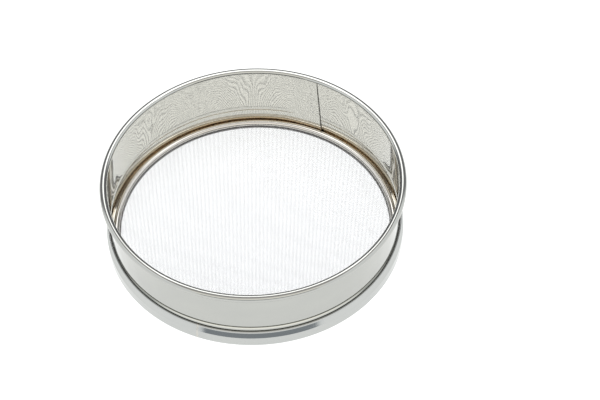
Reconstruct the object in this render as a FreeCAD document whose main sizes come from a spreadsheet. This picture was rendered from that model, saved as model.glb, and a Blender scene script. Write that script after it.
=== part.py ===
import FreeCAD, Part
import math
import os
import Sketcher
from FreeCAD import Placement, Rotation, Vector

# Soil sieve, 300 mm over the rim and 75 mm tall, in polished stainless steel.
#
# Frame: Z is the sieve's axis and z = 0 is the plane it rests on. X and Y are level, and the
# origin is the middle of the resting circle. All lengths are millimetres, all angles degrees.
#
# The sieve is two bodies. The frame is a rolled wall with a wired rim, standing in a base hoop
# whose lower edge turns inward as a ledge. The screen is a ring that grips a woven cloth. It
# lies loose on that ledge and lifts straight up and out through the rim.

SIZES = {
    # Whole sieve
    "resting_plane": 0.0,
    "rim_radius": 150.0,            # outside of the rim, half the nominal 300 mm
    "sieve_height": 75.0,           # from the resting plane to the top of the rim
    # Wall: one strip of sheet, rolled and lapped, its top edge curled outward round a wire
    "wall_sheet": 0.6,
    "curl_radius": 3.7,             # outside radius of the curl
    "curl_gap": 40.0,               # angle that the curl leaves open, from level
    "wire_clearance": 0.1,          # between the rim wire and the curl round it
    "lap_bottom_left": -16.0,       # the lap's two ends at the foot of the wall, along the wall
    "lap_bottom_right": 0.0,
    "lap_top_left": -20.5,          # the same at the top, because both ends lean
    "lap_top_right": -4.5,
    "lap_top": 70.0,                # height at which the lap runs into the curl
    "lap_root": 0.3,                # how deep the lap's layer is joined into the wall
    "groove_width": 0.5,            # outside groove where the other end of the strip lies
    "groove_depth": 0.3,
    # Bead pressed into the wall from outside, just above the hoop: a hollow outside, a ridge inside
    "bead_level": 21.6,
    "bead_round": 8.5,              # radius of the hollow's section
    "bead_depth": 0.5,
    # Base hoop: thicker sheet, beaded top edge, sloping shoulder, plain band, inward ledge
    "hoop_sheet": 0.8,
    "hoop_clearance": 0.1,          # between the wall and the hoop round it
    "hoop_radius": 147.4,           # outside of the plain band
    "hoop_bead_radius": 1.2,
    "hoop_height": 18.3,            # top of the bead
    "shoulder_drop": 5.1,           # height of the sloping shoulder
    "land_drop": 1.3,               # from the bead's centre down to the end of the bore's land
    "ledge_radius": 137.2,          # inner edge of the ledge
    "foot_round": 1.6,              # outside rounding between the band and the ledge
    "foot_inner_round": 0.8,
    "shoulder_round": 2.4,          # outside rounding between the shoulder and the band
    "shoulder_inner_round": 1.6,
    "joint_angle": 0.8,             # how much of the hoop and of the ring their welds fill
    # Screen: rounded channel ring, clamp ring, core wire and cloth
    "ring_radius": 141.4,           # outside of the channel
    "ring_half_width": 3.2,         # also the outside radius of its rounded crown
    "ring_sheet": 0.6,
    "crown_height": 3.4,            # centre of the crown above the resting plane
    "clamp_radius": 140.7,          # outside of the clamp ring, within the channel's outer leg
    "clamp_bore": 133.9,
    "clamp_lip": 1.8,               # how far the clamp's lip stands above its flat
    "core_radius": 1.75,            # core wire
    "core_height": 3.9,
    "cloth_radius": 139.8,
    "cloth_thickness": 0.7,         # two 0.35 mm wires, one over the other
    # Spot welds
    "lap_weld_radius": 1.6,
    "lap_weld_proud": 0.08,
    "hoop_weld_radius": 1.1,
    "hoop_weld_height": 15.9,
}

WALL_SEAM_TURN = -30.9     # turns the wall so that its lap's free edge is 59.1 from +X at the foot
HOOP_JOINT_TURN = 246.0    # direction of the weld that closes the hoop, from +X
RING_JOINT_TURN = 215.0    # direction of the weld that closes the screen's channel, from +X
LAP_WELD_HEIGHTS = (8.4, 28.0, 37.0, 46.0, 55.0, 63.0)   # none on the wall's bead
HOOP_WELD_COUNT = 16

SHEET_NAME = "Sizes"
WELD_TURN = SHEET_NAME + ".joint_angle"
OPEN_TURN = "360 - " + WELD_TURN       # a whole turn less the weld that closes it

doc = FreeCAD.newDocument("SoilSieve")
made = []                  # the objects that are sub-parts, in the order they are built


def fill_sheet():
    """Puts every driving size in the sheet, as a number with an alias."""
    sheet = doc.addObject("Spreadsheet::Sheet", SHEET_NAME)
    for row, (alias, number) in enumerate(SIZES.items(), start=1):
        sheet.set("A%d" % row, alias)
        sheet.set("B%d" % row, str(number))
        sheet.setAlias("B%d" % row, alias)
    doc.recompute()


def amount(formula):
    """The value of a sum such as 'rim_radius - curl_radius'."""
    total = 0.0
    sign = 1
    for word in formula.split():
        if word in ("+", "-"):
            sign = 1 if word == "+" else -1
        else:
            total += sign * SIZES[word]
    return total


def bound(formula):
    """The same sum as an expression on the sheet's cells."""
    words = [w if w in ("+", "-") else SHEET_NAME + "." + w for w in formula.split()]
    return " ".join(words)


def bind(obj, **formulas):
    """Binds properties of an object to sums of the sheet's cells."""
    for name, formula in formulas.items():
        setattr(obj, name, amount(formula))
        obj.setExpression(name, bound(formula))


def finish(obj, label, placement=None):
    """Names a sub-part and puts it in place."""
    obj.Label = label
    if placement is not None:
        obj.Placement = placement
    made.append(obj)
    return obj


def turned(angle):
    """A turn about the sieve's axis."""
    return Placement(Vector(0, 0, 0), Rotation(Vector(0, 0, 1), angle))


def new_body(name):
    return doc.addObject("PartDesign::Body", name + "_body")


def section_sketch(body, name):
    """A sketch in the body's XZ plane, so that its points are (radius, height)."""
    sketch = body.newObject("Sketcher::SketchObject", name)
    plane = [f for f in body.Origin.OriginFeatures if f.Role == "XZ_Plane"][0]
    sketch.AttachmentSupport = (plane, [""])
    sketch.MapMode = "FlatFace"
    return sketch


def constrain(sketch, name, kind, *where, formula):
    """Adds a named driving size and binds it to the sheet."""
    index = sketch.addConstraint(Sketcher.Constraint(kind, *where, amount(formula)))
    sketch.renameConstraint(index, name)
    sketch.setExpression("Constraints." + name, bound(formula))


def draw_section(sketch, corners):
    """Draws a closed section. Each corner is (radius formula, height formula), and a third and
    fourth entry make the side from it to the next corner an arc: its radius formula, and its
    lower and higher angle in half turns, and whether the section follows it clockwise."""
    points = [Vector(amount(c[0]), amount(c[1]), 0) for c in corners]
    count = len(corners)
    starts = []
    ends = []
    for i, corner in enumerate(corners):
        begin = points[i]
        end = points[(i + 1) % count]
        if len(corner) == 2:
            sketch.addGeometry(Part.LineSegment(begin, end))
            starts.append(1)
            ends.append(2)
            continue
        radius = amount(corner[2])
        low, high, clockwise = corner[3]
        low_angle = low * math.pi
        centre = (end if clockwise else begin) - Vector(math.cos(low_angle), math.sin(low_angle), 0) * radius
        circle = Part.Circle(centre, Vector(0, 0, 1), radius)
        sketch.addGeometry(Part.ArcOfCircle(circle, low_angle, high * math.pi))
        starts.append(2 if clockwise else 1)
        ends.append(1 if clockwise else 2)
    for i in range(count):
        j = (i + 1) % count
        sketch.addConstraint(Sketcher.Constraint("Coincident", i, ends[i], j, starts[j]))
    for i, corner in enumerate(corners):
        constrain(sketch, "radius_%d" % i, "DistanceX", -1, 1, i, starts[i], formula=corner[0])
        constrain(sketch, "height_%d" % i, "DistanceY", -1, 1, i, starts[i], formula=corner[1])
        if len(corner) > 2:
            # The arc's centre is level with the corner that it starts from
            sketch.addConstraint(Sketcher.Constraint("Horizontal", i, 3, i, starts[i]))


def revolve(body, sketch, name, turn=None):
    """Revolves a section about the sieve's axis, all the way or by the turn's expression."""
    solid = body.newObject("PartDesign::Revolution", name)
    solid.Profile = sketch
    solid.ReferenceAxis = (sketch, ["V_Axis"])
    solid.Angle = 360.0
    if turn is not None:
        solid.setExpression("Angle", turn)
    body.Tip = solid
    doc.recompute()
    return solid


def circle_edges(feature, radius, height):
    """Names of the circular edges of a feature with this radius at this height."""
    found = []
    for number, edge in enumerate(feature.Shape.Edges, start=1):
        middle = edge.CenterOfMass if not hasattr(edge.Curve, "Radius") else edge.Curve.Center
        same_radius = abs(getattr(edge.Curve, "Radius", 0.0) - radius) < 0.01
        if same_radius and abs(middle.z - height) < 0.01:
            found.append("Edge%d" % number)
    return found


def round_edge(body, base, name, radius_formula, at_radius, at_height):
    """Rounds one circular corner of a revolved body."""
    fillet = body.newObject("PartDesign::Fillet", name)
    fillet.Base = (base, circle_edges(base, at_radius, at_height))
    bind(fillet, Radius=radius_formula)
    body.Tip = fillet
    doc.recompute()
    return fillet


def torus(name, ring_formula, height_formula, wire_formula):
    """A ring of round section, such as a wire bent to a closed ring."""
    ring = doc.addObject("Part::Torus", name)
    bind(ring, Radius1=ring_formula, Radius2=wire_formula)
    ring.Placement = Placement(Vector(0, 0, amount(height_formula)), Rotation())
    ring.setExpression("Placement.Base.z", bound(height_formula))
    return ring


def cylinder(name, radius_formula, height_formula, base_formula=None):
    """An upright cylinder on the sieve's axis."""
    post = doc.addObject("Part::Cylinder", name)
    bind(post, Radius=radius_formula, Height=height_formula)
    if base_formula is not None:
        post.Placement = Placement(Vector(0, 0, amount(base_formula)), Rotation())
        post.setExpression("Placement.Base.z", bound(base_formula))
    return post


# ------------------------------------------------------------------ the wall and its rim

def wall_revolved():
    """Wall and curl as one section: a straight leg whose top curls outward and down again."""
    body = new_body("wall")
    sketch = section_sketch(body, "wall_section")
    inner = amount("rim_radius - curl_radius - curl_radius")
    foot = amount("hoop_sheet")
    centre = Vector(amount("rim_radius - curl_radius"), amount("sieve_height - curl_radius"), 0)
    outer_round = amount("curl_radius")
    inner_round = amount("curl_radius - wall_sheet")
    first = math.radians(SIZES["curl_gap"] - 180.0)
    up = Vector(0, 0, 1)
    edge = Vector(math.cos(first), math.sin(first), 0)
    outer_wall = inner + SIZES["wall_sheet"]
    inside, curl_out, lip, curl_in, outside, bottom = range(6)
    sketch.addGeometry(Part.LineSegment(Vector(inner, foot, 0), Vector(inner, centre.y, 0)))
    sketch.addGeometry(Part.ArcOfCircle(Part.Circle(centre, up, outer_round), first, math.pi))
    sketch.addGeometry(Part.LineSegment(centre + edge * outer_round, centre + edge * inner_round))
    sketch.addGeometry(Part.ArcOfCircle(Part.Circle(centre, up, inner_round), first, math.pi))
    sketch.addGeometry(Part.LineSegment(Vector(outer_wall, centre.y, 0), Vector(outer_wall, foot, 0)))
    sketch.addGeometry(Part.LineSegment(Vector(outer_wall, foot, 0), Vector(inner, foot, 0)))
    joins = [(inside, 2, curl_out, 2), (curl_out, 1, lip, 1), (lip, 2, curl_in, 1),
             (curl_in, 2, outside, 1), (outside, 2, bottom, 1), (bottom, 2, inside, 1),
             (curl_out, 3, curl_in, 3)]
    for join in joins:
        sketch.addConstraint(Sketcher.Constraint("Coincident", *join))
    sketch.addConstraint(Sketcher.Constraint("Vertical", inside))
    sketch.addConstraint(Sketcher.Constraint("Vertical", outside))
    sketch.addConstraint(Sketcher.Constraint("Horizontal", bottom))
    sketch.addConstraint(Sketcher.Constraint("Horizontal", curl_out, 3, curl_out, 2))
    sketch.addConstraint(Sketcher.Constraint("Horizontal", curl_in, 3, curl_in, 2))
    sketch.addConstraint(Sketcher.Constraint("PointOnObject", curl_out, 3, lip))
    constrain(sketch, "foot_height", "DistanceY", -1, 1, inside, 1, formula="hoop_sheet")
    constrain(sketch, "curl_round", "Radius", curl_out, formula="curl_radius")
    constrain(sketch, "curl_reach", "DistanceX", -1, 1, curl_out, 3, formula="rim_radius - curl_radius")
    constrain(sketch, "curl_level", "DistanceY", -1, 1, curl_out, 3, formula="sieve_height - curl_radius")
    constrain(sketch, "sheet", "DistanceX", inside, 1, outside, 2, formula="wall_sheet")
    gap = sketch.addConstraint(Sketcher.Constraint("Angle", lip, math.radians(SIZES["curl_gap"])))
    sketch.renameConstraint(gap, "lip_angle")
    sketch.setExpression("Constraints.lip_angle", SHEET_NAME + ".curl_gap * 1 deg")
    revolve(body, sketch, "wall_turned")
    return body


def leaning_bar(name, depth_low, depth_high, bottom, top, cut_height):
    """A bar across the wall at +Y whose two ends lean along the wall. The wedge is drawn along
    its own Y, and its Placement turns that upright."""
    bar = doc.addObject("Part::Wedge", name)
    bind(bar, Xmin=bottom[0], Xmax=bottom[1], X2min=top[0], X2max=top[1])
    bar.Ymin = 0.0
    bind(bar, Ymax=cut_height)
    for low, high in (("Zmin", "Zmax"), ("Z2min", "Z2max")):
        setattr(bar, low, -depth_high)
        setattr(bar, high, -depth_low)
    lift = Vector(0, 0, amount("hoop_sheet"))
    bar.Placement = Placement(lift, Rotation(Vector(1, 0, 0), 90))
    return bar


def sleeve(name, outer_formula, inner_formula):
    """A plain sleeve between two radii, over the lap's height."""
    outside = cylinder(name + "_outside", outer_formula, "lap_top - hoop_sheet", "hoop_sheet")
    inside = cylinder(name + "_inside", inner_formula, "lap_top - hoop_sheet", "hoop_sheet")
    between = doc.addObject("Part::Cut", name)
    between.Base = outside
    between.Tool = inside
    return between


def combined(kind, name, base, tool):
    """Two shapes joined, cut or reduced to what they share."""
    result = doc.addObject("Part::" + kind, name)
    result.Base = base
    result.Tool = tool
    return result


def add_bead(plain_wall):
    """Presses the bead: a ridge added inside, and a hollow of the same centre cut outside."""
    centre = "rim_radius - curl_radius - curl_radius + wall_sheet - bead_depth + bead_round"
    ridge_ring = torus("ridge_ring", centre, "bead_level", "bead_round + wall_sheet")
    ridge_sleeve = sleeve("ridge_sleeve", "rim_radius - curl_radius - curl_radius + lap_root",
                          "rim_radius - curl_radius - curl_radius - wall_sheet - wall_sheet")
    ridge = combined("Common", "ridge", ridge_sleeve, ridge_ring)
    ridged = combined("Fuse", "ridged_wall", plain_wall, ridge)
    hollow = torus("hollow_ring", centre, "bead_level", "bead_round")
    return combined("Cut", "beaded_wall", ridged, hollow)


def wall():
    """The wall's strip overlaps itself: a second layer inside, and a groove outside where the
    other end of the strip lies."""
    turned_wall = wall_revolved()
    inner = amount("rim_radius - curl_radius - curl_radius")
    reach = 8.0
    lap_bar = leaning_bar("lap_bar", inner - reach, inner + reach,
                          ("lap_bottom_left", "lap_bottom_right"),
                          ("lap_top_left", "lap_top_right"), "lap_top - hoop_sheet")
    lap_layer = sleeve("lap_layer", "rim_radius - curl_radius - curl_radius + lap_root",
                       "rim_radius - curl_radius - curl_radius - wall_sheet")
    lap = combined("Common", "lap", lap_layer, lap_bar)
    lapped = combined("Fuse", "lapped_wall", turned_wall, lap)
    groove_bar = leaning_bar("groove_bar", inner - reach, inner + reach,
                             ("lap_bottom_left - groove_width", "lap_bottom_left"),
                             ("lap_top_left - groove_width", "lap_top_left"), "lap_top - hoop_sheet")
    groove_layer = sleeve("groove_layer",
                          "rim_radius - curl_radius - curl_radius + wall_sheet + wall_sheet",
                          "rim_radius - curl_radius - curl_radius + wall_sheet - groove_depth")
    groove = combined("Common", "groove", groove_layer, groove_bar)
    cut = combined("Cut", "body_wall", add_bead(lapped), groove)
    return finish(cut, "body_wall", turned(WALL_SEAM_TURN))


def rim_wire():
    """The wire that the rim is curled round."""
    wire = torus("rim_wire", "rim_radius - curl_radius", "sieve_height - curl_radius",
                 "curl_radius - wall_sheet - wire_clearance")
    finish(wire, "rim_wire")


def radial_pin(name, radius_formula, inner_radius, length, azimuth, height):
    """A short round pin that points outward from the axis."""
    pin = doc.addObject("Part::Cylinder", name)
    bind(pin, Radius=radius_formula)
    pin.Height = length
    out = Vector(math.cos(math.radians(azimuth)), math.sin(math.radians(azimuth)), 0)
    pin.Placement = Placement(out * inner_radius + Vector(0, 0, height), Rotation(Vector(0, 0, 1), out))
    return pin


def group(label, members):
    """One node that holds several separate solids."""
    together = doc.addObject("Part::Compound", label)
    together.Links = members
    return finish(together, label, Placement())


def wall_seam_welds():
    """A leaning row of spot welds through both layers of the lap."""
    inner = amount("rim_radius - curl_radius - curl_radius - wall_sheet - lap_weld_proud")
    length = amount("wall_sheet + wall_sheet + lap_weld_proud + lap_weld_proud")
    radius = amount("rim_radius - curl_radius - curl_radius")
    low_end = (SIZES["lap_bottom_left"] + SIZES["lap_bottom_right"]) / 2
    high_end = (SIZES["lap_top_left"] + SIZES["lap_top_right"]) / 2
    welds = []
    for i, height in enumerate(LAP_WELD_HEIGHTS):
        share = (height - SIZES["hoop_sheet"]) / amount("lap_top - hoop_sheet")
        along = low_end + (high_end - low_end) * share
        azimuth = 90.0 - math.degrees(along / radius) + WALL_SEAM_TURN
        welds.append(radial_pin("lap_weld_%d" % i, "lap_weld_radius", inner, length, azimuth, height))
    group("wall_seam_welds", welds)


# ------------------------------------------------------------------ the base hoop

def hoop_section(name):
    """Bead at the top, sloping shoulder, plain band and inward ledge, with sharp corners."""
    bore = "rim_radius - curl_radius - curl_radius + wall_sheet + hoop_clearance"
    bead_level = "hoop_height - hoop_bead_radius"
    body = new_body(name)
    sketch = section_sketch(body, name + "_section")
    draw_section(sketch, [
        (bore, bead_level, "hoop_bead_radius", (0.0, 1.0, True)),
        (bore + " + hoop_bead_radius + hoop_bead_radius", bead_level,
         "hoop_bead_radius", (-0.5, 0.0, True)),
        (bore + " + hoop_bead_radius", bead_level + " - hoop_bead_radius"),
        ("hoop_radius", bead_level + " - hoop_bead_radius - shoulder_drop"),
        ("hoop_radius", "resting_plane"),
        ("ledge_radius", "resting_plane"),
        ("ledge_radius", "hoop_sheet"),
        ("hoop_radius - hoop_sheet", "hoop_sheet"),
        ("hoop_radius - hoop_sheet", bead_level + " - hoop_bead_radius - shoulder_drop"),
        (bore, bead_level + " - land_drop"),
    ])
    return body, sketch


def round_hoop(body, base):
    """Rounds the corners that are bent in the sheet: the shoulder and the foot."""
    shoulder_low = amount("hoop_height - hoop_bead_radius - hoop_bead_radius - shoulder_drop")
    outer = SIZES["hoop_radius"]
    inner = amount("hoop_radius - hoop_sheet")
    steps = [("foot_outside", "foot_round", outer, 0.0),
             ("foot_inside", "foot_inner_round", inner, SIZES["hoop_sheet"]),
             ("shoulder_outside", "shoulder_round", outer, shoulder_low),
             ("shoulder_inside", "shoulder_inner_round", inner, shoulder_low)]
    for name, formula, at_radius, at_height in steps:
        base = round_edge(body, base, name, formula, at_radius, at_height)


def base_hoop():
    body, sketch = hoop_section("hoop")
    round_hoop(body, revolve(body, sketch, "hoop_turned", OPEN_TURN))
    finish(body, "base_hoop", turned(HOOP_JOINT_TURN))


def hoop_joint_weld():
    """The weld that closes the hoop: the hoop's own section over a very short arc."""
    body, sketch = hoop_section("hoop_weld")
    round_hoop(body, revolve(body, sketch, "hoop_weld_turned", WELD_TURN))
    finish(body, "hoop_joint_weld", turned(HOOP_JOINT_TURN - SIZES["joint_angle"]))


def hoop_spot_welds():
    """Spot welds that hold the hoop's top to the wall."""
    inner = amount("rim_radius - curl_radius - curl_radius")
    length = amount("wall_sheet + hoop_clearance + hoop_sheet")
    step = 360.0 / HOOP_WELD_COUNT
    welds = []
    for i in range(HOOP_WELD_COUNT):
        welds.append(radial_pin("hoop_weld_%d" % i, "hoop_weld_radius", inner, length,
                                (i + 0.5) * step, SIZES["hoop_weld_height"]))
    group("hoop_spot_welds", welds)


# ------------------------------------------------------------------ the screen

def channel_section(name):
    """A channel with a round crown. Its inner leg presses on the cloth, and its outer leg goes
    down past the cloth and the clamp ring."""
    outer = "ring_radius"
    inner = "ring_radius - ring_half_width - ring_half_width"
    cloth_top = "hoop_sheet + ring_sheet + cloth_thickness"
    body = new_body(name)
    sketch = section_sketch(body, name + "_section")
    draw_section(sketch, [
        (outer, "hoop_sheet"),
        (outer, "crown_height", "ring_half_width", (0.0, 1.0, False)),
        (inner, "crown_height"),
        (inner, cloth_top),
        (inner + " + ring_sheet", cloth_top),
        (inner + " + ring_sheet", "crown_height", "ring_half_width - ring_sheet", (0.0, 1.0, True)),
        (outer + " - ring_sheet", "crown_height"),
        (outer + " - ring_sheet", "hoop_sheet"),
    ])
    return body, sketch


def screen_ring():
    body, sketch = channel_section("channel")
    revolve(body, sketch, "channel_turned", OPEN_TURN)
    finish(body, "screen_ring", turned(RING_JOINT_TURN))


def ring_joint_weld():
    body, sketch = channel_section("channel_weld")
    revolve(body, sketch, "channel_weld_turned", WELD_TURN)
    finish(body, "ring_joint_weld", turned(RING_JOINT_TURN - SIZES["joint_angle"]))


def clamp_ring():
    """The flat ring under the cloth's edge, with a lip inside the channel's outer leg."""
    body = new_body("clamp")
    sketch = section_sketch(body, "clamp_section")
    draw_section(sketch, [
        ("clamp_bore", "hoop_sheet"),
        ("clamp_radius", "hoop_sheet"),
        ("clamp_radius", "hoop_sheet + ring_sheet + clamp_lip"),
        ("clamp_radius - ring_sheet", "hoop_sheet + ring_sheet + clamp_lip"),
        ("clamp_radius - ring_sheet", "hoop_sheet + ring_sheet"),
        ("clamp_bore", "hoop_sheet + ring_sheet"),
    ])
    revolve(body, sketch, "clamp_turned")
    finish(body, "clamp_ring", Placement())


def core_wire():
    """The wire inside the channel that keeps it round and presses on the cloth's edge."""
    wire = torus("core_wire", "ring_radius - ring_half_width", "core_height", "core_radius")
    finish(wire, "core_wire")


def mesh_cloth():
    """The space that the woven cloth takes up, as a thin disc."""
    disc = cylinder("mesh_cloth", "cloth_radius", "cloth_thickness", "hoop_sheet + ring_sheet")
    finish(disc, "mesh_cloth")


# ------------------------------------------------------------------ check and write

def check_document():
    """Stops if any object failed, or a sub-part's shape is missing or not valid."""
    doc.recompute()
    for obj in doc.Objects:
        if "Invalid" in obj.State or "Error" in obj.State:
            raise RuntimeError("%s did not compute: %s" % (obj.Label, obj.State))
        if obj.TypeId == "Sketcher::SketchObject" and not obj.FullyConstrained:
            raise RuntimeError("%s is not fully constrained" % obj.Label)
    for obj in made:
        if obj.Shape.isNull() or not obj.Shape.isValid() or obj.Shape.Volume <= 0:
            raise RuntimeError("%s has no valid shape" % obj.Label)


def write_parts():
    os.makedirs("parts", exist_ok=True)
    for obj in made:
        obj.Shape.exportStep(os.path.join("parts", obj.Label + ".step"))
        box = obj.Shape.BoundBox
        print("%-18s solids %2d  volume %9.1f  z %.2f to %.2f  reach %.2f"
              % (obj.Label, len(obj.Shape.Solids), obj.Shape.Volume, box.ZMin, box.ZMax, box.XMax))


fill_sheet()
wall()
rim_wire()
wall_seam_welds()
base_hoop()
hoop_joint_weld()
hoop_spot_welds()
screen_ring()
ring_joint_weld()
clamp_ring()
core_wire()
mesh_cloth()
check_document()
write_parts()
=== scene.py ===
import math

import bmesh
import bpy
import numpy as np
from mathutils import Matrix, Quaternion, Vector


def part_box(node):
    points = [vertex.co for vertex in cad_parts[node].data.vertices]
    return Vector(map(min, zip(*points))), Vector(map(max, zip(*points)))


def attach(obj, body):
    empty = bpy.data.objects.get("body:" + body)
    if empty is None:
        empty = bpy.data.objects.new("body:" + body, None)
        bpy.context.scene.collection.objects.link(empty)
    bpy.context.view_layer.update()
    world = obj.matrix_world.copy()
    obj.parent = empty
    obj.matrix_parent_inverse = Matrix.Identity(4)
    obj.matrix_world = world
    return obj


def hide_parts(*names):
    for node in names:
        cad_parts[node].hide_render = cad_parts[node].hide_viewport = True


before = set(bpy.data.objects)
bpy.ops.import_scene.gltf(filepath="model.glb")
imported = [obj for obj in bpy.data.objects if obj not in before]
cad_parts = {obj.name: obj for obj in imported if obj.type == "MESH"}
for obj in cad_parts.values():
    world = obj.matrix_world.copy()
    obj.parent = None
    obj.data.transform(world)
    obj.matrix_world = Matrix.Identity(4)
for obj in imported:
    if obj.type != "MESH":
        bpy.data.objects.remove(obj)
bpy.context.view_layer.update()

# Soil sieve in polished stainless steel: a rolled wall with a wired rim, a base hoop with an
# inner ledge, and a drop-in screen of woven wire. All lengths are metres, all angles degrees.
MM = 0.001

FRAME = "frame"
SCREEN = "screen"

# Sheet and wire sizes, as the CAD model has them
WALL_SHEET = 0.6 * MM
HOOP_SHEET = 0.8 * MM
RING_SHEET = 0.6 * MM
CURL_RADIUS = 3.7 * MM
CURL_END = -140.0               # where the rolled edge stops, from level, outside the rim
HOOP_BEAD_RADIUS = 1.2 * MM
HOOP_CLEARANCE = 0.1 * MM
SHOULDER_DROP = 5.1 * MM
SHOULDER_ROUND = 2.4 * MM
LAND_DROP = 1.3 * MM            # from the hoop's bead down to the end of its bore
FOOT_ROUND = 1.6 * MM
LEDGE_REACH = 10.2 * MM         # from the hoop's outside in to the ledge's edge
RING_HALF_WIDTH = 3.2 * MM
CLAMP_LIP = 1.8 * MM
CLAMP_REACH = 6.8 * MM          # from the clamp ring's outside in to its bore

# Bead pressed into the wall above the hoop
BEAD_LEVEL = 21.6 * MM
BEAD_ROUND = 8.5 * MM
BEAD_DEPTH = 0.5 * MM
BEAD_EDGE_ROUND = 0.8 * MM      # where the bead meets the straight wall
BEAD_EDGE_TURN = 4.0            # how much of the bead's arc that rounding takes at each end
BEAD_FLATTENING = 0.75          # how much of the lap's lift the pressing takes away

# Lap seam of the wall
SEAM_FOOT = 59.1                # direction of the free edge at the foot, from +X
SEAM_LEAN = 1.83                # how far round it has gone at the top of the wall
LAP_SPAN = 6.4                  # how far round the second layer reaches
JOGGLE_SPAN = 12.0              # over this angle the inner layer eases back to the wall's radius
CREVICE_SPAN = 0.2              # gap along the foot of the free edge
GROOVE_SPAN = 0.9               # outside, where the other end of the sheet is
WALL_REACH = 69.2 * MM          # height over which the seam leans
LAP_TOP = 66.0 * MM             # above this the second layer runs out into the curl
WAVE_DEPTH = 0.09 * MM          # of the wall's unevenness

# Welds
WELD_SPAN = 0.8                 # how much of a turn a closing weld fills
LAP_WELD_HEIGHTS = (8.4, 28.0, 37.0, 46.0, 55.0, 63.0)      # mm
LAP_SPOT_RADIUS = 1.6 * MM
HOOP_SPOT_RADIUS = 1.1 * MM
HOOP_SPOT_COUNT = 16
HOOP_SPOT_REACH = 0.6 * MM      # how far a hoop's weld goes into the hoop's sheet
SPOT_PROUD = 0.05 * MM
SPOT_SIDES = 24

# Woven cloth
WIRE = 0.35 * MM
PITCH = 1.35 * MM
CLOTH_TURN = -2.2               # how far the cloth is turned from the Y axis
CLOTH_STRIPS = 3                # each set of wires is cut into this many pieces
CLOTH_MARGIN = 0.4 * MM         # between the wires' ends and the CAD cloth's edge
CLOTH_SAG = 0.12 * MM

COLUMNS = 540                   # steps round a full turn


# ------------------------------------------------------------------ mesh helpers

def mesh_object(name, points, quads, body, replaced, sharp_angle=35.0):
    """Makes a piece from arrays of points and of four-cornered faces, and puts it on its body."""
    mesh = bpy.data.meshes.new(name)
    mesh.vertices.add(len(points))
    mesh.vertices.foreach_set("co", np.asarray(points, np.float32).ravel())
    quads = np.asarray(quads, np.int32)
    mesh.loops.add(quads.size)
    mesh.loops.foreach_set("vertex_index", quads.ravel())
    mesh.polygons.add(len(quads))
    mesh.polygons.foreach_set("loop_start", np.arange(0, quads.size, 4, dtype=np.int32))
    mesh.update(calc_edges=True)
    mesh.validate()
    mesh.shade_smooth()
    if sharp_angle is not None:
        mesh.set_sharp_from_angle(angle=math.radians(sharp_angle))
    piece = bpy.data.objects.new(name, mesh)
    bpy.context.scene.collection.objects.link(piece)
    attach(piece, body)
    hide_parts(*replaced)
    return piece


def arc(centre_r, centre_z, radius, first, last, steps):
    """Points of a section's arc, from one angle to another."""
    angles = np.radians(np.linspace(first, last, steps + 1))
    return [(centre_r + radius * math.cos(a), centre_z + radius * math.sin(a)) for a in angles]


def line(start, end, steps=1):
    """Points inside a section's straight side, close together near its ends so that the shading
    of the side stays flat."""
    shares = [0.004, 0.03, *(np.arange(1, steps) / steps), 0.97, 0.996]
    return [(start[0] + (end[0] - start[0]) * s, start[1] + (end[1] - start[1]) * s) for s in shares]


def corner_arc(before, corner, after, radius, steps=8):
    """Points that round a corner of a section with the given radius."""
    b, c, a = (np.array(p, float) for p in (before, corner, after))
    to_b = (b - c) / np.linalg.norm(b - c)
    to_a = (a - c) / np.linalg.norm(a - c)
    half = math.acos(float(np.clip(to_b @ to_a, -1, 1))) / 2
    middle = c + (to_b + to_a) / np.linalg.norm(to_b + to_a) * radius / math.sin(half)
    start = c + to_b * radius / math.tan(half) - middle
    end = c + to_a * radius / math.tan(half) - middle
    first = math.atan2(start[1], start[0])
    turn = math.atan2(start[0] * end[1] - start[1] * end[0], float(start @ end))
    return [(middle[0] + radius * math.cos(first + turn * s),
             middle[1] + radius * math.sin(first + turn * s)) for s in np.arange(steps + 1) / steps]


def grid_quads(rows, columns, closed):
    """Faces of a tube whose sections have this many points, one section per column."""
    faces = []
    last = columns if closed else columns - 1
    i = np.arange(rows)
    for c in range(last):
        here = c * rows
        there = ((c + 1) % columns) * rows
        faces.append(np.stack([here + i, here + (i + 1) % rows,
                               there + (i + 1) % rows, there + i], axis=1))
    return np.concatenate(faces)


def revolved(name, section, body, replaced, first=0.0, span=360.0):
    """A section turned about the Z axis, whole or over a part of a turn with closed ends."""
    section = np.array(section, float)
    rows = len(section)
    closed = span >= 360.0
    columns = COLUMNS if closed else max(3, int(COLUMNS * span / 360.0) + 1)
    azimuths = np.radians(first + span * np.arange(columns) / (columns if closed else columns - 1))
    points = np.concatenate([
        np.stack([section[:, 0] * math.cos(a), section[:, 0] * math.sin(a), section[:, 1]], axis=1)
        for a in azimuths])
    quads = grid_quads(rows, columns, closed)
    piece = mesh_object(name, points, quads, body, replaced)
    if not closed:
        close_ends(piece, rows, columns)
    return piece


def close_ends(piece, rows, columns):
    """Caps the two open ends of a partly turned section."""
    work = bmesh.new()
    work.from_mesh(piece.data)
    work.verts.ensure_lookup_table()
    for c, backwards in ((0, True), (columns - 1, False)):
        ends = [work.verts[c * rows + i] for i in range(rows)]
        face = work.faces.new(ends[::-1] if backwards else ends)
        for edge in face.edges:
            edge.smooth = False
    work.to_mesh(piece.data)
    work.free()


def face_outward(piece):
    """Turns a closed piece's faces outward."""
    work = bmesh.new()
    work.from_mesh(piece.data)
    bmesh.ops.recalc_face_normals(work, faces=work.faces)
    work.to_mesh(piece.data)
    work.free()
    return piece


# ------------------------------------------------------------------ sizes taken from the frame

def radius_of(node):
    """Outside radius of a ring about the Z axis."""
    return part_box(node)[1].x


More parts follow.
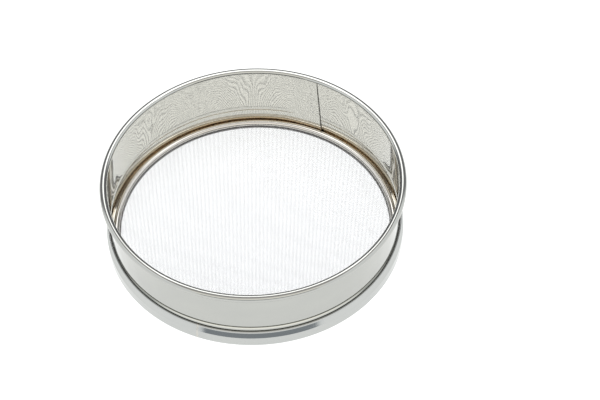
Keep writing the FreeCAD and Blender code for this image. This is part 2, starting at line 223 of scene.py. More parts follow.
RIM_RADIUS = radius_of("body_wall")
RIM_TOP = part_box("body_wall")[1].z
WALL_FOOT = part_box("body_wall")[0].z
WALL_INSIDE = RIM_RADIUS - 2 * CURL_RADIUS
WALL_OUTSIDE = WALL_INSIDE + WALL_SHEET
BEAD_CENTRE = WALL_OUTSIDE - BEAD_DEPTH + BEAD_ROUND
CURL_CENTRE = (RIM_RADIUS - CURL_RADIUS, RIM_TOP - CURL_RADIUS)
HOOP_RADIUS = radius_of("base_hoop")
HOOP_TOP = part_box("base_hoop")[1].z
RING_RADIUS = radius_of("screen_ring")
RING_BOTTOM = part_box("screen_ring")[0].z
RING_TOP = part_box("screen_ring")[1].z
CLOTH_RADIUS = radius_of("mesh_cloth")
CLOTH_BOTTOM, CLOTH_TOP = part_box("mesh_cloth")[0].z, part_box("mesh_cloth")[1].z
LEDGE_RADIUS = HOOP_RADIUS - LEDGE_REACH


def smooth_step(low, high, value):
    """0 below low, 1 above high, and a soft rise between them."""
    t = np.clip((value - low) / (high - low), 0.0, 1.0)
    return t * t * (3 - 2 * t)


# ------------------------------------------------------------------ pieces of the frame

def bead_rows(face_radius, round_radius):
    """The pressed bead's section on one face of the wall, from below it to above it."""
    half = math.degrees(math.acos((BEAD_CENTRE - face_radius) / round_radius))
    rise = round_radius * math.sin(math.radians(half))
    turn = half - BEAD_EDGE_TURN
    middle = arc(BEAD_CENTRE, BEAD_LEVEL, round_radius, 180.0 + turn, 180.0 - turn, 14)
    low, high = (face_radius, BEAD_LEVEL - rise), (face_radius, BEAD_LEVEL + rise)
    below, above = (face_radius, low[1] - MM), (face_radius, high[1] + MM)
    return (corner_arc(below, low, middle[0], BEAD_EDGE_ROUND, 4) + middle
            + corner_arc(middle[-1], high, above, BEAD_EDGE_ROUND, 4))


def wall_rows():
    """The wall's section as rows of (radius, height, side): side 1 is the inner face, which the
    lap lifts inward, side -1 the outer face, which the lap's other end cuts into."""
    cr, cz = CURL_CENTRE
    inner_bead = bead_rows(WALL_INSIDE, BEAD_ROUND + WALL_SHEET)
    outer_bead = bead_rows(WALL_OUTSIDE, BEAD_ROUND)[::-1]
    inside = [(WALL_INSIDE, WALL_FOOT)] + line((WALL_INSIDE, WALL_FOOT), inner_bead[0], 3)
    inside += inner_bead
    inside += line(inner_bead[-1], (WALL_INSIDE, cz), 10)
    outside = line((WALL_OUTSIDE, cz), outer_bead[0], 8) + outer_bead
    outside += line(outer_bead[-1], (WALL_OUTSIDE, WALL_FOOT), 2) + [(WALL_OUTSIDE, WALL_FOOT)]
    rows = [(r, z, 1) for r, z in inside]
    rows += [(r, z, 0) for r, z in arc(cr, cz, CURL_RADIUS, 180.0, CURL_END, 50)]
    rows += [(r, z, 0) for r, z in arc(cr, cz, CURL_RADIUS - WALL_SHEET, CURL_END, 180.0, 14)]
    rows += [(r, z, -1) for r, z in outside]
    return np.array(rows)


def wall_waves(azimuth, heights):
    """How far the rolled sheet stands out of round: shallow dents and waves that bend what it
    mirrors. They die out at the foot and the rim, where the hoop and the wire hold it."""
    turn = math.radians(azimuth)
    z = heights / WALL_REACH
    waves = 0.45 * np.sin(23.0 * turn + 4.1 * z + 0.6) + 0.35 * np.sin(37.0 * turn - 5.3 * z + 2.2)
    waves += 0.3 * np.sin(11.0 * turn + 9.0 * z + 1.1) + 0.25 * np.sin(58.0 * turn + 7.4 * z)
    held = smooth_step(0.30, 0.45, z) * (1.0 - smooth_step(0.80, 0.95, z))
    return WAVE_DEPTH * waves * held


def wall():
    """The wall's strip of sheet, with its leaning lap. Every column of faces leans with the seam."""
    rows = wall_rows()
    lean = SEAM_LEAN * np.clip((rows[:, 1] - WALL_FOOT) / WALL_REACH, 0.0, 1.0)
    runs_out = 1.0 - smooth_step(LAP_TOP, CURL_CENTRE[1], rows[:, 1])
    face = np.where(rows[:, 2] > 0, WALL_INSIDE, WALL_OUTSIDE)
    pressed = np.where(rows[:, 2] != 0, np.clip((face - rows[:, 0]) / BEAD_DEPTH, 0.0, 1.0), 0.0)
    runs_out *= 1.0 - BEAD_FLATTENING * pressed
    even = list(np.arange(COLUMNS) * 360.0 / COLUMNS)
    crevice = SEAM_FOOT - CREVICE_SPAN
    lap_end = SEAM_FOOT + LAP_SPAN
    free_edge = [crevice, crevice + 0.03, SEAM_FOOT, SEAM_FOOT + 0.012, SEAM_FOOT + 0.05]
    other_edge = [lap_end, lap_end + 0.012, lap_end + 0.05, lap_end + GROOVE_SPAN]
    fine = free_edge + [lap_end - 0.03] + other_edge
    even = [a for a in even if min(abs(a - f) for f in fine) > 0.1]
    azimuths = sorted(even + fine)
    points = []
    for azimuth in azimuths:
        inner_lift = np.interp(azimuth, free_edge, [0.0, -0.5, -0.5, 0.9, 1.0])
        inner_lift *= 1.0 - smooth_step(lap_end, lap_end + JOGGLE_SPAN, azimuth)
        outer_cut = np.interp(azimuth, other_edge, [0.0, 0.6, 0.6, 0.0])
        shift = np.where(rows[:, 2] > 0, -inner_lift, np.where(rows[:, 2] < 0, -outer_cut, 0.0))
        radius = rows[:, 0] + shift * WALL_SHEET * runs_out
        radius += wall_waves(azimuth, rows[:, 1] - WALL_FOOT)
        turn = np.radians(azimuth + lean)
        points.append(np.stack([radius * np.cos(turn), radius * np.sin(turn), rows[:, 1]], axis=1))
    quads = grid_quads(len(rows), len(azimuths), True)
    piece = mesh_object("body_wall_sheet", np.concatenate(points), quads, FRAME,
                        ["body_wall"])
    return face_outward(piece)


def hoop_section():
    """Bead, shoulder, plain band and inward ledge, as one closed outline of even sheet."""
    bore = WALL_OUTSIDE + HOOP_CLEARANCE
    level = HOOP_TOP - HOOP_BEAD_RADIUS
    neck = (bore + HOOP_BEAD_RADIUS, level - HOOP_BEAD_RADIUS)
    low = neck[1] - SHOULDER_DROP
    inside = HOOP_RADIUS - HOOP_SHEET
    outer_bend = (HOOP_RADIUS, low)
    inner_bend = (inside, low)
    land = (bore, level - LAND_DROP)
    shoulder = corner_arc(neck, outer_bend, (HOOP_RADIUS, 0.0), SHOULDER_ROUND, 10)
    foot = corner_arc(outer_bend, (HOOP_RADIUS, 0.0), (LEDGE_RADIUS, 0.0), FOOT_ROUND, 12)
    outline = arc(bore + HOOP_BEAD_RADIUS, level, HOOP_BEAD_RADIUS, 180.0, -80.0, 32)
    under_bead = outline[-1]
    outline += line(under_bead, shoulder[0], 4) + shoulder
    outline += line(shoulder[-1], foot[0], 4) + foot
    edge_low, edge_high = (LEDGE_RADIUS, 0.0), (LEDGE_RADIUS, HOOP_SHEET)
    outline += line(foot[-1], edge_low) + [edge_low, edge_high]
    outline += line(edge_high, (inside - FOOT_ROUND + HOOP_SHEET, HOOP_SHEET))
    outline += corner_arc(edge_high, (inside, HOOP_SHEET), inner_bend,
                          FOOT_ROUND - HOOP_SHEET, 5)
    outline += corner_arc((inside, HOOP_SHEET), inner_bend, land, SHOULDER_ROUND - HOOP_SHEET, 5)
    outline += [land]
    return outline


def azimuth_of(node):
    """Direction of a node's middle from the axis, from +X."""
    low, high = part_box(node)
    middle = (low + high) / 2
    return math.degrees(math.atan2(middle.y, middle.x))


def hoop():
    """The hoop, and the weld that closes it."""
    section = hoop_section()
    joint = azimuth_of("hoop_joint_weld")
    hoop_piece = revolved("base_hoop_sheet", section, FRAME, ["base_hoop"],
                          joint + WELD_SPAN / 2, 360.0 - WELD_SPAN)
    weld = revolved("hoop_joint_weld_bead", section, FRAME, ["hoop_joint_weld"],
                    joint - WELD_SPAN / 2, WELD_SPAN)
    return face_outward(hoop_piece), face_outward(weld)


def round_wire(name, node, body):
    """A wire bent to a closed ring, where the CAD node is."""
    low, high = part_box(node)
    wire_radius = (high.z - low.z) / 2
    section = arc(high.x - wire_radius, (low.z + high.z) / 2, wire_radius, 0.0, 345.0, 23)
    return face_outward(revolved(name, section, body, [node]))


def welded_spots(name, node, body, inner, outer, spot_radius, heights, azimuths):
    """Spot welds as short pins with domed ends, pointing outward."""
    profile = [(inner, 0.0), (inner + 0.03 * MM, 0.55), (inner + 0.09 * MM, 0.85),
               (inner + 0.2 * MM, 1.0), (outer - 0.2 * MM, 1.0), (outer - 0.09 * MM, 0.85),
               (outer - 0.03 * MM, 0.55), (outer, 0.0)]
    points = []
    quads = []
    for height, azimuth in zip(heights, azimuths):
        start = len(points)
        out = np.array([math.cos(math.radians(azimuth)), math.sin(math.radians(azimuth)), 0.0])
        along = np.array([-out[1], out[0], 0.0])
        for reach, share in profile:
            for k in range(SPOT_SIDES):
                turn = 2 * math.pi * k / SPOT_SIDES
                radius = spot_radius * max(share, 0.02)
                points.append(out * reach + along * radius * math.cos(turn)
                              + np.array([0, 0, height + radius * math.sin(turn)]))
        for ring in range(len(profile) - 1):
            for k in range(SPOT_SIDES):
                here = start + ring * SPOT_SIDES
                there = here + SPOT_SIDES
                after = (k + 1) % SPOT_SIDES
                quads.append((here + k, here + after, there + after, there + k))
    piece = mesh_object(name, np.array(points), quads, body, [node])
    return fill_holes(piece)


def fill_holes(piece):
    """Closes the small openings at the ends of pins, and turns the faces outward."""
    work = bmesh.new()
    work.from_mesh(piece.data)
    edges = [e for e in work.edges if e.is_boundary]
    bmesh.ops.holes_fill(work, edges=edges, sides=0)
    bmesh.ops.recalc_face_normals(work, faces=work.faces)
    work.to_mesh(piece.data)
    work.free()
    return piece


def frame_welds():
    """The spot welds through the wall's lap, and those that hold the hoop to the wall."""
    heights = np.array(LAP_WELD_HEIGHTS) * MM
    shares = (heights - WALL_FOOT) / WALL_REACH
    azimuths = SEAM_FOOT + LAP_SPAN / 2 + shares * SEAM_LEAN
    lap = welded_spots("wall_seam_weld_spots", "wall_seam_welds", FRAME,
                       WALL_INSIDE - WALL_SHEET - SPOT_PROUD, WALL_OUTSIDE + SPOT_PROUD,
                       LAP_SPOT_RADIUS, heights, azimuths)
    low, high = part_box("hoop_spot_welds")
    levels = [(low.z + high.z) / 2] * HOOP_SPOT_COUNT
    azimuths = (np.arange(HOOP_SPOT_COUNT) + 0.5) * 360.0 / HOOP_SPOT_COUNT
    hoop_welds = welded_spots("hoop_weld_spots", "hoop_spot_welds", FRAME,
                              WALL_INSIDE + SPOT_PROUD,
                              WALL_OUTSIDE + HOOP_CLEARANCE + HOOP_SPOT_REACH,
                              HOOP_SPOT_RADIUS, levels, azimuths)
    return lap, hoop_welds


# ------------------------------------------------------------------ pieces of the screen

def ring_section():
    """The channel: a round crown with two legs, the outer one longer."""
    outer = RING_RADIUS
    inner = RING_RADIUS - 2 * RING_HALF_WIDTH
    middle = RING_RADIUS - RING_HALF_WIDTH
    crown = RING_TOP - RING_HALF_WIDTH
    thin = RING_HALF_WIDTH - RING_SHEET
    outline = [(outer, RING_BOTTOM)] + line((outer, RING_BOTTOM), (outer, crown))
    outline += arc(middle, crown, RING_HALF_WIDTH, 0.0, 180.0, 48)
    outline += line((inner, crown), (inner, CLOTH_TOP))
    outline += [(inner, CLOTH_TOP), (inner + RING_SHEET, CLOTH_TOP)]
    outline += arc(middle, crown, thin, 180.0, 0.0, 18)
    outline += [(outer - RING_SHEET, RING_BOTTOM)]
    return outline


def screen_ring():
    """The channel, and the weld that closes it."""
    section = ring_section()
    joint = azimuth_of("ring_joint_weld")
    ring = revolved("screen_ring_channel", section, SCREEN, ["screen_ring"],
                    joint + WELD_SPAN / 2, 360.0 - WELD_SPAN)
    weld = revolved("ring_joint_weld_bead", section, SCREEN, ["ring_joint_weld"],
                    joint - WELD_SPAN / 2, WELD_SPAN)
    return face_outward(ring), face_outward(weld)


def clamp():
    """The flat ring under the cloth, with its lip."""
    outer = radius_of("clamp_ring")
    bore = outer - CLAMP_REACH
    flat = RING_BOTTOM + RING_SHEET
    lip = flat + CLAMP_LIP
    section = [(bore, RING_BOTTOM), (outer, RING_BOTTOM), (outer, lip), (outer - RING_SHEET, lip),
               (outer - RING_SHEET, flat), (bore, flat)]
    return face_outward(revolved("clamp_ring_sheet", section, SCREEN, ["clamp_ring"]))


def cloth_wave(x, y):
    """Height that the stretched cloth gains or loses from flat: a slight sag with soft waves."""
    sag = -CLOTH_SAG * (1.0 - (x * x + y * y) / CLOTH_RADIUS ** 2)
    waves = 0.05 * np.sin(x * 61.0 + 0.7) * np.sin(y * 47.0 + 1.9)
    waves += 0.03 * np.sin(x * 113.0 + y * 71.0 + 2.3) + 0.02 * np.sin(x * 53.0 - y * 139.0)
    return sag + waves * MM


def cloth_drift(along, across, phase):
    """How far a wire wanders sideways from its even place."""
    slow = 0.025 * np.sin(along * 38.0 + across * 55.0 + phase)
    slow += 0.012 * np.sin(along * 92.0 - across * 31.0 + 2.1 * phase)
    slow += 0.006 * np.sin(along * 171.0 + across * 118.0 + 0.6 * phase)
    return slow * MM


def wire_line(place, direction, phase, reach):
    """Middle line of one crimped wire, or None where it would be too short to weave."""
    across = place * PITCH
    steps = int(math.sqrt(max(reach ** 2 - across ** 2, 0.0)) / (PITCH / 2))
    if steps < 2:
        return None
    along = np.arange(-steps, steps + 1) * (PITCH / 2)
    side = across + cloth_drift(along, across, phase)
    # Over and under alternate from one crossing to the next, and from wire to wire
    crimp = np.cos(math.pi * (along / PITCH + place)) * WIRE / 2 * direction
    flat_x, flat_y = (side, along) if direction > 0 else (along, side)
    turn = math.radians(CLOTH_TURN)
    x = flat_x * math.cos(turn) - flat_y * math.sin(turn)
    y = flat_x * math.sin(turn) + flat_y * math.cos(turn)
    free = 1.0 - smooth_step(0.93, 1.0, np.hypot(x, y) / reach)
    z = (CLOTH_BOTTOM + CLOTH_TOP) / 2 + crimp + cloth_wave(x, y) * free
    return np.stack([x, y, z], axis=1)


def wire_faces(first, count):
    """Faces of a four-sided wire with this many sections, whose points start at first."""
    base = first + 4 * np.arange(count - 1)
    faces = []
    for k in range(4):
        after = (k + 1) % 4
        faces.append(np.stack([base + k, base + 4 + k, base + 4 + after, base + after], axis=1))
    end = first + 4 * (count - 1)
    faces.append(np.array([[first, first + 1, first + 2, first + 3]]))
    faces.append(np.array([[end + 3, end + 2, end + 1, end]]))
    return faces


def wire_set(name, direction, phase):
    """One set of crimped wires, which pass over and under the other set, in strips."""
    reach = CLOTH_RADIUS - CLOTH_MARGIN
    turn = math.radians(CLOTH_TURN)
    if direction > 0:
        aside = np.array([math.cos(turn), math.sin(turn), 0.0])
    else:
        aside = np.array([-math.sin(turn), math.cos(turn), 0.0])
    up = np.array([0.0, 0.0, 1.0])
    corners = [aside, up, -aside, -up]
    # Even shares of wire length, so that each strip has about as many faces as the others
    count = int(reach / PITCH)
    places = np.arange(-count, count + 1)
    chords = np.sqrt(np.maximum(reach ** 2 - (places * PITCH) ** 2, 0.0))
    share = np.cumsum(chords) / chords.sum() * CLOTH_STRIPS
    cuts = [places[(share > s) & (share <= s + 1 + 1e-9)] for s in range(CLOTH_STRIPS)]
    pieces = []
    for strip, chosen in enumerate(cuts, start=1):
        points = []
        quads = []
        total = 0
        for place in chosen:
            centre = wire_line(place, direction, phase, reach)
            if centre is None:
                continue
            ring = np.stack([centre + c * WIRE / 2 for c in corners], axis=1)
            points.append(ring.reshape(-1, 3))
            quads += wire_faces(total, len(centre))
            total += 4 * len(centre)
        piece = mesh_object("%s_%d" % (name, strip), np.concatenate(points), np.concatenate(quads),
                            SCREEN, ["mesh_cloth"], None)
        pieces.append(piece)
    return pieces


# ------------------------------------------------------------------ materials

# Metals
WALL_TONES = ((0.46, 0.465, 0.44), (0.44, 0.445, 0.425))
# The inside tone is painted light: the wall's one sheet is given a brighter tone inside than outside
WALL_INSIDE_PAINTED_LIGHT = (0.64, 0.63, 0.57)
HOOP_TONES = ((0.49, 0.50, 0.485), (0.47, 0.48, 0.47))
RING_TONES = ((0.63, 0.61, 0.575), (0.59, 0.57, 0.535))
WIRE_TONES = ((0.50, 0.49, 0.47), (0.40, 0.38, 0.35))
CLOTH_TONES = ((0.655, 0.67, 0.695), (0.63, 0.645, 0.67))
WELD_TONES = ((0.50, 0.47, 0.42), (0.56, 0.56, 0.54))
# Painted reflections, painted shade, dirt and darkening
WALL_PAINTED_REFLECTION = (0.78, 0.69, 0.57)
RING_PAINTED_REFLECTION = (0.78, 0.68, 0.56)
CREVICE_SHADE_AND_DIRT = (0.05, 0.042, 0.035)
FOOT_DARKENING = (0.22, 0.20, 0.18)
CLOTH_LINE_SHADE = (0.10, 0.09, 0.08)

PATTERN_RADIUS = 0.143          # turns an angle into a distance round the sheet


class Graph:
    """A node tree that is being built, with a method for each kind of node."""

    def __init__(self, tree):
        self.nodes = tree.nodes
        self.links = tree.links

    def coordinates(self, kind):
        return self.nodes.new("ShaderNodeTexCoord").outputs[kind]

    def noise(self, vector, scale, detail=3.0, roughness=0.5):
        texture = self.nodes.new("ShaderNodeTexNoise")
        texture.inputs["Scale"].default_value = scale
        texture.inputs["Detail"].default_value = detail
        texture.inputs["Roughness"].default_value = roughness
        self.links.new(vector, texture.inputs["Vector"])
        return texture.outputs["Fac"]

    def ranged(self, value, low, high, to_low, to_high, smooth=False):
        """A value moved from one range to another, and kept inside it."""
        spread = self.nodes.new("ShaderNodeMapRange")
        if smooth:
            spread.interpolation_type = "SMOOTHSTEP"
        spread.inputs["From Min"].default_value = low
        spread.inputs["From Max"].default_value = high
        spread.inputs["To Min"].default_value = to_low
        spread.inputs["To Max"].default_value = to_high
        self.links.new(value, spread.inputs["Value"])
        return spread.outputs["Result"]

    def maths(self, operation, first, second=0.0):
        node = self.nodes.new("ShaderNodeMath")
        node.operation = operation
        for socket, value in zip(node.inputs, (first, second)):
            if isinstance(value, (int, float)):
                socket.default_value = value
            else:
                self.links.new(value, socket)
        return node.outputs["Value"]

    def split(self, vector):
        node = self.nodes.new("ShaderNodeSeparateXYZ")
        self.links.new(vector, node.inputs["Vector"])
        return node.outputs["X"], node.outputs["Y"], node.outputs["Z"]

    def stretched(self, vector, scale):
        mapping = self.nodes.new("ShaderNodeMapping")
        mapping.inputs["Scale"].default_value = scale
        self.links.new(vector, mapping.inputs["Vector"])
        return mapping.outputs["Vector"]

    def mixed(self, factor, first, second):
        """Two colours mixed. Each is a colour or a socket that gives one."""
        mix = self.nodes.new("ShaderNodeMix")
        mix.data_type = "RGBA"
        self.links.new(factor, mix.inputs["Factor"])
        ends = [socket for socket in mix.inputs if socket.type == "RGBA"]
        for socket, colour in zip(ends, (first, second)):
            if isinstance(colour, tuple):
                socket.default_value = (*colour, 1.0)
            else:
                self.links.new(colour, socket)
        return [socket for socket in mix.outputs if socket.type == "RGBA"][0]

    def ramp(self, value, stops):
        """Colours along a value from 0 to 1, as shares of RAMP_TOP."""
        ramp = self.nodes.new("ShaderNodeValToRGB")
        self.links.new(value, ramp.inputs["Fac"])
        elements = ramp.color_ramp.elements
        elements[0].position = stops[0][0]
        elements[1].position = stops[-1][0]
        for position, colour in stops[1:-1]:
            elements.new(position)
        for element, (position, colour) in zip(elements, stops):
            element.color = (*(c / RAMP_TOP for c in colour), 1.0)
        return ramp.outputs["Color"]

    def bumped(self, shader, height, strength, distance):
        bump = self.nodes.new("ShaderNodeBump")
        bump.inputs["Strength"].default_value = strength
        bump.inputs["Distance"].default_value = distance
        self.links.new(height, bump.inputs["Height"])
        self.links.new(bump.outputs["Normal"], shader.inputs["Normal"])


def new_material(name):
    material = bpy.data.materials.new(name)
    material.use_nodes = True
    return material, Graph(material.node_tree), material.node_tree.nodes["Principled BSDF"]


def round_coordinates(graph):
    """Coordinates that follow the sheet round: distance round the wall, height, and radius."""
    place = graph.coordinates("Object")
    x, y, z = graph.split(place)
    round_way = graph.maths("MULTIPLY", graph.maths("ARCTAN2", y, x), PATTERN_RADIUS)
    squares = graph.maths("ADD", graph.maths("MULTIPLY", x, x), graph.maths("MULTIPLY", y, y))
    radius = graph.maths("SQRT", squares)
    joined = graph.nodes.new("ShaderNodeCombineXYZ")
    graph.links.new(round_way, joined.inputs["X"])
    graph.links.new(z, joined.inputs["Y"])
    graph.links.new(radius, joined.inputs["Z"])
    return place, joined.outputs["Vector"]


def sheet_pattern(graph, along, place, tones, low_rough, high_rough):
    """Colour, roughness and height of rolled and polished sheet: fine polishing lines along the
    sheet, faint cloudy smudges, and a very slight waviness."""
    lines = graph.noise(graph.stretched(along, (18.0, 5200.0, 5200.0)), 1.0, 2.0)
    smudges = graph.noise(place, 38.0, 5.0, 0.6)
    clouds = graph.noise(graph.stretched(along, (1.0, 2.4, 2.4)), 17.0, 3.0)
    colour = graph.mixed(graph.ranged(clouds, 0.3, 0.7, 0.0, 1.0), *tones)
    rough = graph.maths("ADD", graph.ranged(smudges, 0.35, 0.75, low_rough, high_rough),
                        graph.ranged(lines, 0.55, 0.8, 0.0, 0.04))
    height = graph.maths("ADD", graph.maths("MULTIPLY", lines, 0.12), clouds)
    return colour, rough, height


def with_darkening(graph, shader, amount, colour, rough, darkening):
    """Links a metal's colour and roughness, with a darker colour over it where the amount says:
    painted shade, dirt and plain darkening, as the callers give them.
    """
    graph.links.new(graph.mixed(amount, colour, darkening), shader.inputs["Base Color"])
    dulled = graph.maths("MAXIMUM", rough, graph.maths("MULTIPLY", amount, 0.5))
    graph.links.new(dulled, shader.inputs["Roughness"])
    shader.inputs["Metallic"].default_value = 1.0


def blotchy(graph, value, blotches, reach):
    """A height with an uneven edge, for the edges of the painted reflections, the painted shade, the
    dirt and the darkening.
    """
    return graph.maths("ADD", value, graph.maths("MULTIPLY", blotches, reach))


def wall_metal():
    """The wall's sheet. Its inside face has a brighter tone than its outside as painted light, the
    crevice of the seam is darkened with painted shade and dirt, and low down inside lies a tan
    painted reflection of the screen ring, beside the screen."""
    material, graph, shader = new_material("polished_wall")
    place, along = round_coordinates(graph)
    outside, rough, height = sheet_pattern(graph, along, place, WALL_TONES, 0.02, 0.06)
    round_way, z, radius = graph.split(along)
    inside = graph.ranged(radius, WALL_INSIDE + 0.15 * MM, WALL_INSIDE + 0.3 * MM, 1.0, 0.0)
    # Painted light: the inside face takes the brighter tone, the outside the darker one
    painted_light_inside = graph.mixed(inside, outside, WALL_INSIDE_PAINTED_LIGHT)
    mirror = graph.maths("MULTIPLY", rough, graph.ranged(inside, 0.0, 1.0, 1.0, 0.35))
    blotches = graph.noise(along, 420.0, 3.0)
    # Tan painted reflection of the screen ring, low on the inside face beside the screen
    ring_reflection_band = graph.ranged(blotchy(graph, z, blotches, 5.0 * MM), 6.0 * MM, 17.0 * MM, 0.8, 0.0, True)
    with_painted_reflection = graph.mixed(graph.maths("MULTIPLY", ring_reflection_band, inside), painted_light_inside, WALL_PAINTED_REFLECTION)
    # Angle from the seam, which leans with the height
    angle = graph.maths("MULTIPLY", round_way, math.degrees(1.0) / PATTERN_RADIUS)
    lean = graph.ranged(z, WALL_FOOT, WALL_FOOT + WALL_REACH, SEAM_FOOT, SEAM_FOOT + SEAM_LEAN)
    off = graph.maths("ABSOLUTE", graph.maths("SUBTRACT", angle, lean))
    width = graph.ranged(blotches, 0.3, 0.7, 0.10, 0.30)
    crevice = graph.maths("MULTIPLY", graph.maths("LESS_THAN", off, width), inside)
    # Painted shade and dirt darken the seam's crevice on the inside face
    with_darkening(graph, shader, graph.maths("MULTIPLY", crevice, 0.85), with_painted_reflection, mirror, CREVICE_SHADE_AND_DIRT)
    graph.bumped(shader, height, 0.04, 0.0004)
    return material


def hoop_metal():
    """The hoop's sheet, darker along the foot and on the underside."""
    material, graph, shader = new_material("polished_hoop")
    place, along = round_coordinates(graph)
    colour, rough, height = sheet_pattern(graph, along, place, HOOP_TONES, 0.02, 0.06)
    z = graph.split(along)[1]
    # Darker towards the bottom, along the foot and the underside
    low = blotchy(graph, z, graph.noise(along, 300.0, 4.0), 0.8 * MM)
    darker_low = graph.ranged(low, 0.4 * MM, 0.9 * MM, 0.5, 0.0, True)
    with_darkening(graph, shader, darker_low, colour, rough, FOOT_DARKENING)
    graph.bumped(shader, height, 0.04, 0.0004)
    return material


def ring_metal():
    """The screen ring's sheet: painted shade along the line where it meets the cloth, and a brown
    painted reflection on its outer face in the gap beside the wall."""
    material, graph, shader = new_material("polished_ring")
    place, along = round_coordinates(graph)
    colour, rough, height = sheet_pattern(graph, along, place, RING_TONES, 0.03, 0.07)
    z, radius = graph.split(along)[1:]
    depth = blotchy(graph, z, graph.noise(along, 500.0, 3.0), 0.8 * MM)
    # Brown painted reflection on the outer face, in the gap beside the wall
    outer = graph.ranged(radius, RING_RADIUS - 1.2 * MM, RING_RADIUS - 0.5 * MM, 0.0, 1.0)
    gap_reflection = graph.maths("MULTIPLY", graph.ranged(depth, 3.5 * MM, 5.5 * MM, 0.7, 0.0), outer)
    with_painted_reflection = graph.mixed(gap_reflection, colour, RING_PAINTED_REFLECTION)
    # Painted shade low on the inner leg, where it meets the cloth
    inner = graph.ranged(radius, RING_RADIUS - 5.9 * MM, RING_RADIUS - 5.6 * MM, 1.0, 0.0)
    darkening = graph.maths("MULTIPLY", graph.ranged(depth, 3.1 * MM, 3.7 * MM, 0.9, 0.0), inner)
    with_darkening(graph, shader, darkening, with_painted_reflection, rough, CLOTH_LINE_SHADE)
    graph.bumped(shader, height, 0.05, 0.0004)
    return material


def drawn_wire(name, tones, rough):
    """Drawn steel wire: cloudy patches, and fine specks that are rougher and slightly raised."""
    material, graph, shader = new_material(name)
    place = graph.coordinates("Object")
    specks = graph.noise(place, 900.0, 3.0)
    patches = graph.noise(place, 60.0, 3.0)
    tint = graph.ranged(patches, 0.35, 0.7, 0.0, 1.0)
    graph.links.new(graph.mixed(tint, *tones), shader.inputs["Base Color"])
    shader.inputs["Metallic"].default_value = 1.0
    graph.links.new(graph.ranged(specks, 0.3, 0.7, rough, rough + 0.12), shader.inputs["Roughness"])
    graph.bumped(shader, specks, 0.15, 0.00003)
    return material


def weld_metal():
    """Ground weld: a little duller than the sheet, with a straw-coloured heat tint."""
    material, graph, shader = new_material("ground_weld")
    place = graph.coordinates("Object")
    grain = graph.noise(place, 1400.0, 4.0)
    heat = graph.noise(place, 260.0, 2.0)
    graph.links.new(graph.mixed(heat, *WELD_TONES), shader.inputs["Base Color"])
    shader.inputs["Metallic"].default_value = 1.0
    graph.links.new(graph.ranged(grain, 0.3, 0.7, 0.18, 0.34), shader.inputs["Roughness"])
    graph.bumped(shader, grain, 0.25, 0.00004)
    return material


def paint(pieces, material):
    for piece in pieces:
        piece.data.materials.clear()
        piece.data.materials.append(material)


# ------------------------------------------------------------------ stage, lights and camera

# Colour and brightness of the floor's own light, the same all over
FLOOR_GLOW = (1.07, 1.08, 1.08)
RAMP_TOP = 2.0                  # brightest value that the studio's colours may have
# Brightness of the room, from the front's horizon (0) over the top to the back's horizon (1)
ARCH = [(0.0, (0.36, 0.39, 0.42)), (0.085, (0.38, 0.41, 0.44)), (0.11, (1.42, 1.38, 1.30)),
        (0.20, (1.42, 1.38, 1.30)), (0.33, (1.05, 1.03, 0.98)), (0.38, (0.56, 0.54, 0.54)),
        (0.58, (0.48, 0.47, 0.47)), (0.76, (0.36, 0.36, 0.37)), (0.86, (0.22, 0.22, 0.24)),
        (1.0, (0.20, 0.20, 0.22))]
# Brightness of the room at the left and right, from its horizon (0) upward
SIDES = [(0.0, (1.05, 1.08, 1.10)), (0.4, (1.25, 1.28, 1.31)), (0.7, (1.3, 1.3, 1.3)),
         (1.0, (0.9, 0.9, 0.9))]
FLOOR_REACH = 6.0
FLOOR_DROP = -0.1 * MM
CAMERA_PLACE = (0.0003, -1.6000, 1.9110)
CAMERA_AIM = (0.0453, 0.0018, 0.0371)
CAMERA_ROLL = -1.65


def floor():
    """A large plain pale floor, lit from below as a lit table is, so that it takes no hard
    shadow."""
    mesh = bpy.data.meshes.new("floor")
    corners = [(FLOOR_REACH * x, FLOOR_REACH * y, FLOOR_DROP)
               for x, y in ((-1, -1), (1, -1), (1, 1), (-1, 1))]
    mesh.from_pydata(corners, [], [(0, 1, 2, 3)])
    plane = bpy.data.objects.new("floor", mesh)
    bpy.context.scene.collection.objects.link(plane)
    material, _, shader = new_material("pale_floor")
    shader.inputs["Base Color"].default_value = (0.22, 0.22, 0.22, 1.0)
    shader.inputs["Roughness"].default_value = 0.9
    shader.inputs["Specular IOR Level"].default_value = 0.0
    shader.inputs["Emission Color"].default_value = (*FLOOR_GLOW, 1.0)
    shader.inputs["Emission Strength"].default_value = 1.0
    mesh.materials.append(material)


def soft_light(name, place, target, width, depth, power):
    """A rectangular light that faces its target."""
    data = bpy.data.lights.new(name, "AREA")
    data.shape = "RECTANGLE"
    data.size = width
    data.size_y = depth
    data.energy = power
    light = bpy.data.objects.new(name, data)
    bpy.context.scene.collection.objects.link(light)
    light.location = place
    light.rotation_mode = "QUATERNION"
    light.rotation_quaternion = (Vector(target) - Vector(place)).to_track_quat("-Z", "Y")


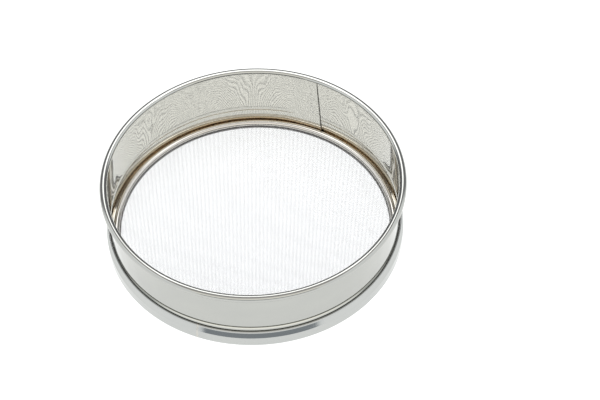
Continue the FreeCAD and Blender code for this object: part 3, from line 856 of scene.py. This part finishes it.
def studio():
    """The room as the metal reflects it. From the front over the top to the back: a dim strip of
    room at the front's horizon, a warm bright ceiling, a dimmer one overhead, and a dim back. It
    is bright at the left and the right, except towards the back."""
    world = bpy.data.worlds.new("studio")
    bpy.context.scene.world = world
    world.use_nodes = True
    graph = Graph(world.node_tree)
    background = graph.nodes["Background"]
    x, y, z = graph.split(graph.coordinates("Generated"))
    over = graph.maths("ARCTAN2", z, graph.maths("MULTIPLY", y, -1.0))
    arch = graph.ramp(graph.maths("DIVIDE", over, math.pi), ARCH)
    sides = graph.ramp(z, SIDES)
    aside = graph.ranged(graph.maths("ABSOLUTE", x), 0.56, 0.64, 0.0, 1.0, True)
    in_front = graph.ranged(y, 0.40, 0.58, 1.0, 0.0, True)
    room = graph.mixed(graph.maths("MULTIPLY", aside, in_front), arch, sides)
    graph.links.new(room, background.inputs["Color"])
    background.inputs["Strength"].default_value = RAMP_TOP


def camera():
    """Looks down at the sieve from the front with a long lens, turned a little."""
    data = bpy.data.cameras.new("camera")
    data.lens = 150.0
    data.sensor_width = 36.0
    data.clip_end = 50.0
    view = bpy.data.objects.new("camera", data)
    bpy.context.scene.collection.objects.link(view)
    view.location = CAMERA_PLACE
    view.rotation_mode = "QUATERNION"
    roll = Quaternion((0.0, 0.0, 1.0), math.radians(CAMERA_ROLL))
    sight = Vector(CAMERA_AIM) - view.location
    view.rotation_quaternion = sight.to_track_quat("-Z", "Y") @ roll
    bpy.context.scene.camera = view


def build():
    """Makes the pieces, their materials, the stage and the camera."""
    camera()
    wall_piece = wall()
    hoop_piece, hoop_weld = hoop()
    rim_wire = round_wire("rim_wire_ring", "rim_wire", FRAME)
    lap_spots, hoop_spots = frame_welds()
    ring, ring_weld = screen_ring()
    clamp_piece = clamp()
    core = round_wire("core_wire_ring", "core_wire", SCREEN)
    cloth = wire_set("mesh_warp", 1, 0.4) + wire_set("mesh_weft", -1, 1.7)

    paint([wall_piece], wall_metal())
    paint([hoop_piece], hoop_metal())
    paint([ring, clamp_piece], ring_metal())
    paint([rim_wire, core], drawn_wire("drawn_wire", WIRE_TONES, 0.25))
    paint(cloth, drawn_wire("mesh_wire", CLOTH_TONES, 0.14))
    paint([lap_spots, hoop_spots, hoop_weld, ring_weld], weld_metal())

    floor()
    studio()
    soft_light("back_softbox", (0.0, 0.60, 0.99), (0.0, 0.951, 0.054), 0.7, 1.07, 5.6)
    scene = bpy.context.scene
    scene.view_settings.view_transform = "Standard"
    # Light bounces many times between the ring and the wall beside it
    scene.cycles.max_bounces = 24
    scene.cycles.glossy_bounces = 20


build()
